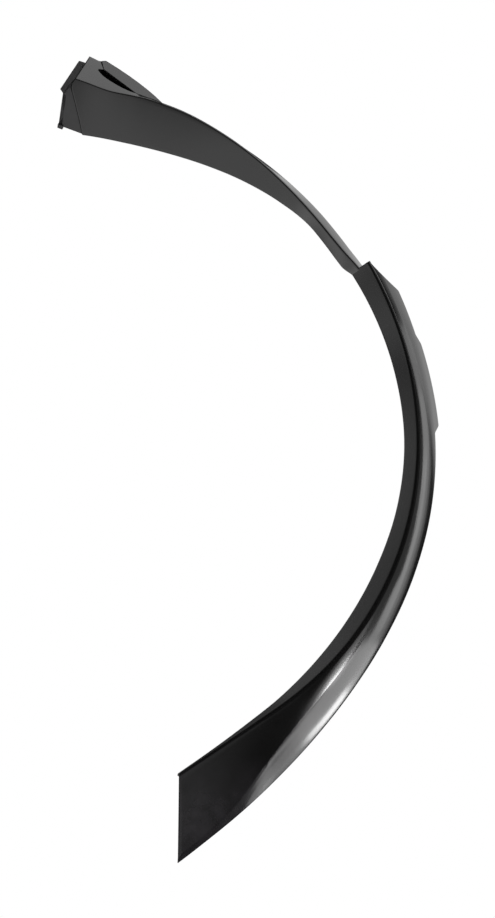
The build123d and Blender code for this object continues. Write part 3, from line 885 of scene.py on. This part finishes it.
def polypropylene(name, darkest, palest, least_rough, most_rough, grain_depth):
    """Black moulded polypropylene with ranges of colour and roughness and a depth of grain in millimetres."""
    plastic = bpy.data.materials.new(name)
    plastic.use_nodes = True
    tree = plastic.node_tree
    shader = tree.nodes["Principled BSDF"]
    shader.inputs["IOR"].default_value = 1.49
    place = add_node(tree, "ShaderNodeTexCoord").outputs["Object"]
    # The grain is drawn at 1.6 mm instead of 0.4 mm, which a picture at one pixel per millimetre couldn't show.
    # The melt's flow leaves clouds of about 60 mm in colour and gloss, and road dust lies in patches of 25 mm.
    grain, flow, patches = [
        add_node(tree, "ShaderNodeTexNoise", {"Scale": 1 / (size * millimetre), "Detail": detail, "Roughness": fine},
                 {"Vector": place}).outputs["Fac"]
        for size, detail, fine in ((1.6, 2.0, 0.6), (60, 3.0, 0.55), (25, 4.0, 0.6))]
    black = add_node(tree, "ShaderNodeMix", {"data_type": "RGBA", 6: linear(darkest), 7: linear(palest)}, {0: flow})
    # The dust clings to the low bumper end.
    across = add_node(tree, "ShaderNodeSeparateXYZ", links={0: place})
    low_end = add_node(tree, "ShaderNodeMapRange", {"From Min": 0.385, "From Max": 0.45},
                       {"Value": across.outputs["X"]})
    patchy = add_node(tree, "ShaderNodeMapRange", {"From Min": 0.35, "From Max": 0.65, "To Min": 0.2, "To Max": 0.7},
                      {"Value": patches})
    dust = add_node(tree, "ShaderNodeMath", {"operation": "MULTIPLY"},
                    {0: low_end.outputs[0], 1: patchy.outputs[0]})
    dusty = add_node(tree, "ShaderNodeMix", {"data_type": "RGBA", 7: linear("#2e2c2f")},
                     {0: dust.outputs[0], 6: black.outputs[2]})
    # Edges are rubbed paler where the mesh turns sharply, and the paler rims also paint a highlight along every
    # sharp edge.
    turn = add_node(tree, "ShaderNodeNewGeometry")
    rubbed_and_edge_lit = add_node(tree, "ShaderNodeMapRange", {"From Min": 0.53, "From Max": 0.62, "To Max": 0.5},
                      {"Value": turn.outputs["Pointiness"]})
    worn_and_edge_lit = add_node(tree, "ShaderNodeMix", {"data_type": "RGBA", 7: linear("#2a2a29")},
                    {0: rubbed_and_edge_lit.outputs[0], 6: dusty.outputs[2]})
    gloss = add_node(tree, "ShaderNodeMapRange", {"From Min": 0.3, "From Max": 0.7, "To Min": least_rough,
                                                  "To Max": most_rough}, {"Value": flow})
    speck = add_node(tree, "ShaderNodeMapRange", {"From Min": 0.35, "From Max": 0.75, "To Min": -0.004,
                                                  "To Max": 0.006}, {"Value": grain})
    roughness = add_node(tree, "ShaderNodeMath", {"operation": "ADD"}, {0: gloss.outputs[0], 1: speck.outputs[0]})
    bump = add_node(tree, "ShaderNodeBump", {"Strength": 1.0, "Distance": grain_depth * millimetre},
                    {"Height": grain})
    # The colour carries the paler rims: partly rubbing, partly a painted highlight on the edges.
    tree.links.new(worn_and_edge_lit.outputs[2], shader.inputs["Base Color"])
    tree.links.new(roughness.outputs[0], shader.inputs["Roughness"])
    tree.links.new(bump.outputs[0], shader.inputs["Normal"])
    return plastic


show_side = polypropylene("talc_filled_polypropylene_satin_moulded", "#080808", "#0e0e0e", 0.12, 0.15, 0.001)
raw_side = polypropylene("talc_filled_polypropylene_plain_moulded", "#19181a", "#201f21", 0.42, 0.55, 0.03)
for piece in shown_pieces():
    shown = piece.name in ("quarter_moulding", "dog_leg_moulding", "sill_pad", "pocket_cup")
    piece.data.materials.clear()
    for finish in (show_side, raw_side) if shown else (raw_side,):
        piece.data.materials.append(finish)

# %% [markdown]
# ## The room
# Black plastic shows its shape only in what it mirrors, so the room around it matters as much as the lamps. A
# picture of a room could be wrapped round the scene. Here a few soft patches of light stand for walls, ceiling
# and floor of a dim studio, because an all-white room would turn the plastic grey. The camera itself sees plain
# white, and so does the plastic where it mirrors the white screen behind it.

# %% Room
world = bpy.data.worlds.new("studio")
bpy.context.scene.world = world
world.use_nodes = True
tree = world.node_tree
tree.nodes.clear()
dim = 0.05
screen_way = (166, 21)
screen_wide, screen_full = 24, 17  # degrees from its middle to its edge, and to where it is fully white


def toward(azimuth, elevation):
    """Direction from the part, by its angle from the front towards the bumper and its angle upward."""
    a, e = radians(azimuth), radians(elevation)
    return Vector((cos(e) * sin(a), -cos(e) * cos(a), sin(e)))


view = add_node(tree, "ShaderNodeTexCoord").outputs["Generated"]
level = None
for name, azimuth, elevation, wide, narrow, strength in (
        ("bumper_side_wall", 95, -8, 62, 38, 1.35),
        ("door_side_back_wall", -121, 50, 27, 20, 1.08),
        ("back_floor", -152, -28, 44, 8, 0.25),
        ("bumper_side_floor", 148, -44, 30, 10, 0.5),
        ("front_ceiling", 2, 60, 24, 8, 0.4),
        ("front_table", -2, 8, 15.5, 11, 0.5)):
    lean = add_node(tree, "ShaderNodeVectorMath", {"operation": "DOT_PRODUCT", 1: toward(azimuth, elevation)},
                    {0: view})
    patch = add_node(tree, "ShaderNodeMapRange", {"label": name, "interpolation_type": "SMOOTHSTEP",
                                                  "From Min": cos(radians(wide)), "From Max": cos(radians(narrow)),
                                                  "To Max": strength}, {"Value": lean.outputs["Value"]})
    if level:
        level = add_node(tree, "ShaderNodeMath", {"operation": "ADD"}, {0: level.outputs[0], 1: patch.outputs[0]})
    else:
        level = add_node(tree, "ShaderNodeMath", {"operation": "ADD", 1: dim}, {0: patch.outputs[0]})
path = add_node(tree, "ShaderNodeLightPath")
back = add_node(tree, "ShaderNodeVectorMath", {"operation": "DOT_PRODUCT", 1: toward(*screen_way)}, {0: view})
screen = add_node(tree, "ShaderNodeMapRange", {"From Min": cos(radians(screen_wide)),
                                               "From Max": cos(radians(screen_full))},
                  {"Value": back.outputs["Value"]})
mirrored = add_node(tree, "ShaderNodeMath", {"operation": "MULTIPLY"},
                    {0: path.outputs["Is Glossy Ray"], 1: screen.outputs[0]})
through = add_node(tree, "ShaderNodeMath", {"operation": "MAXIMUM"},
                   {0: path.outputs["Is Transmission Ray"], 1: mirrored.outputs[0]})
clear = add_node(tree, "ShaderNodeMath", {"operation": "MAXIMUM"},
                 {0: path.outputs["Is Camera Ray"], 1: through.outputs[0]})
seen = add_node(tree, "ShaderNodeBackground", {"Color": linear("#ffffff"), "Strength": 1.0})
room = add_node(tree, "ShaderNodeBackground", {"Color": linear("#ffffff")}, {"Strength": level.outputs[0]})
mix = add_node(tree, "ShaderNodeMixShader", links={0: clear.outputs[0], 1: room.outputs[0], 2: seen.outputs[0]})
add_node(tree, "ShaderNodeOutputWorld", links={"Surface": mix.outputs[0]})
print("room of", len(tree.nodes), "nodes")

# %% [markdown]
# ## Ceiling lamps
# Soft boxes give the bright bands. One big lamp overhead would make the whole flank equally bright. The real band
# fades towards the lip and towards the door, so the ceiling is a grid of strips, each a little dimmer than the
# one before. Lower lamps light the flank and the broad face at the bumper.

# %% Ceiling lamps
def area_lamp(name, wide, high, radiance, placing):
    """Rectangular lamp of a size in metres, equally bright all over and unseen by the camera."""
    data = bpy.data.lights.new(name, "AREA")
    data.shape = "RECTANGLE"
    data.size, data.size_y = wide, high
    data.energy = radiance * wide * high * pi
    lamp = placed(name, data)
    lamp.matrix_world = placing
    lamp.visible_camera = False
    print(name, "watts", round(data.energy, 1), "at", [round(v, 2) for v in placing.translation])
    return lamp


ceiling = 3.44
rows_across = (-0.29, -0.13, -0.02, 0.08)  # as shares of the ceiling's height, like the strips' ends below
for name, x_low, x_high, levels in (("bumper", -0.2, 0.3, (3.5, 1.9, 0.85)),
                                    ("crown", -0.38, -0.2, (2.7, 2.3, 0.55)),
                                    ("door", -0.58, -0.38, (1.9, 1.6, 0.5))):
    for y_low, y_high, radiance in zip(rows_across, rows_across[1:], levels):
        centre = (ceiling * (x_low + x_high) / 2, ceiling * (y_low + y_high) / 2, ceiling)
        area_lamp(name + "_strip", ceiling * (x_high - x_low), ceiling * (y_high - y_low), radiance,
                  Matrix.Translation(centre))
for name, centre, wide, deep, radiance in (("upper_strip", (0.757, -1.135, ceiling), 0.55, 0.275, 3.3),
                                           ("flank_softbox", (0.72, -0.38, 1.155), 0.37, 0.84, 4.4),
                                           ("bumper_softbox", (0.82, -0.11, 1.145), 0.18, 0.2, 12),
                                           ("bumper_glow", (0.96, -0.2, 1.145), 0.14, 0.7, 2.3)):
    area_lamp(name, wide, deep, radiance, Matrix.Translation(centre))

# %% [markdown]
# ## Lamps for the streak and the back
# The short bright streak at the bend is the mirror image of a small lamp. Its place could be tried out, but the
# line from the camera, mirrored at the skin, points to it. Two larger and dimmer lamps behind it let the streak
# fade, and one more fills the bend. The last ones light the back and the sill end, and the fill at the back isn't
# mirrored, so that the raw side stays matt.

# %% Lamps for the streak and the back
def softbox(name, azimuth, elevation, wide, high, radiance, lit, distance=3.5, roll=0):
    """Lamp seen from a point of the part in a direction, with its angles of width and height."""
    way = toward(azimuth, elevation)
    facing = (-way).to_track_quat("-Z", "Y").to_matrix() @ Matrix.Rotation(radians(roll), 3, "Z")
    placing = Matrix.Translation(Vector(lit) + way * distance) @ facing.to_4x4()
    sizes = [2 * distance * tan(radians(angle / 2)) for angle in (wide, high)]
    return area_lamp(name, *sizes, radiance, placing)


streak = (0.297, 0, -0.137)
arch_middle = (0, 0, -0.2)
sill_end = (-0.38, 0, -0.4)
softbox("key_softbox", 15.0, 45.7, 4.8, 11.5, 30, streak, 1.2, -15)
softbox("key_glow", 11.3, 43, 8, 14, 4, streak, 1.21, -28)
softbox("key_haze", 6.5, 42, 13, 19, 1.1, streak, 1.22, -28)
softbox("edge_softbox", 19.8, 51, 6, 18, 4.5, streak, 1.23, -15)
softbox("back_softbox", 180, 36, 64, 14, 0.6, arch_middle)
softbox("back_fill", -160, 20, 80, 60, 2.6, arch_middle).visible_glossy = False
softbox("sill_softbox", -52, 34, 42, 46, 2.6, sill_end)

# %% [markdown]
# ## Floor
# The part floats over a pale paper floor, as on a photographer's table. A floor could be lit until it clips to
# white, but then the shadow goes too. So the paper is pale grey, and a share of plain white is mixed in for the
# camera only. It isn't mirrored in the plastic, whose room is drawn above.

# %% Floor
floor_mesh = bpy.data.meshes.new("floor")
reach, height = 6.0, -1.1
white_share = 0.6
corners = ((-reach, -reach), (reach, -reach), (reach, reach), (-reach, reach))
floor_mesh.from_pydata([(x, y, height) for x, y in corners], [], [(0, 1, 2, 3)])
floor = placed("floor", floor_mesh)
paper = bpy.data.materials.new("matt_paper")
paper.use_nodes = True
tree = paper.node_tree
matt = tree.nodes["Principled BSDF"]
matt.inputs["Base Color"].default_value = linear("#d9d9d9")
matt.inputs["Roughness"].default_value = 0.9
path = add_node(tree, "ShaderNodeLightPath")
white = add_node(tree, "ShaderNodeEmission", {"Color": linear("#ffffff"), "Strength": 1.0})
share = add_node(tree, "ShaderNodeMath", {"operation": "MULTIPLY", 1: white_share},
                 {0: path.outputs["Is Camera Ray"]})
mix = add_node(tree, "ShaderNodeMixShader", links={0: share.outputs[0], 1: matt.outputs[0], 2: white.outputs[0]})
tree.links.new(mix.outputs[0], tree.nodes["Material Output"].inputs["Surface"])
floor_mesh.materials.append(paper)
floor.visible_glossy = False
print("floor at", height, "m")

# %% [markdown]
# ## Colours as they are
# The Standard view shows a colour as it is written, where a film-like view would dull it.

# %% Settings
bpy.context.scene.view_settings.view_transform = "Standard"
